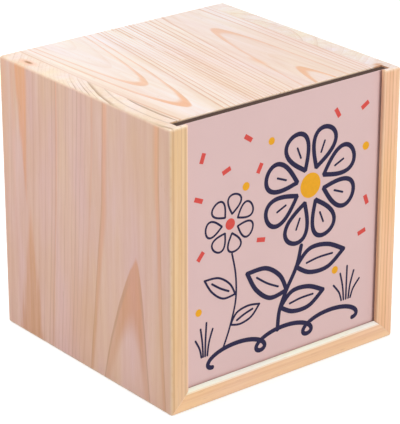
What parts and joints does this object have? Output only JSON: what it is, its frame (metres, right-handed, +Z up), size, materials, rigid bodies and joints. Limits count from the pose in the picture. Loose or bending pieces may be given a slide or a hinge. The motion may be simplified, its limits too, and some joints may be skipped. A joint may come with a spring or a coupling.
{
  "type": "wooden box",
  "caption": "Pine box, nearly a cube, with mitred bottom corners and a printed hardboard front panel that slides up out of grooves in its walls.",
  "frame": {"origin": "centre of the underside, on the surface that the box stands on", "axes": "+Z up, -Y towards the front with the sliding panel, +X to the right seen from the front"},
  "size_m": [0.12, 0.115, 0.1215],
  "materials": {
    "pine_wall": "bare sanded pine",
    "pine_bottom": "bare sanded pine",
    "pine_top": "bare sanded pine",
    "printed_hardboard": "satin printed face on dark brown hardboard"
  },
  "bodies": {
    "box": {"left_wall": "pine_wall", "right_wall": "pine_wall", "bottom_board": "pine_bottom", "top_board": "pine_top", "back_board": "pine_bottom"},
    "panel": {"sliding_panel": "printed_hardboard"}
  },
  "joints": [
    {"name": "panel_slide", "type": "slide", "parent": "box", "child": "panel", "axis": [0, 0, 1], "range_m": [0, 0.116]}
  ]
}
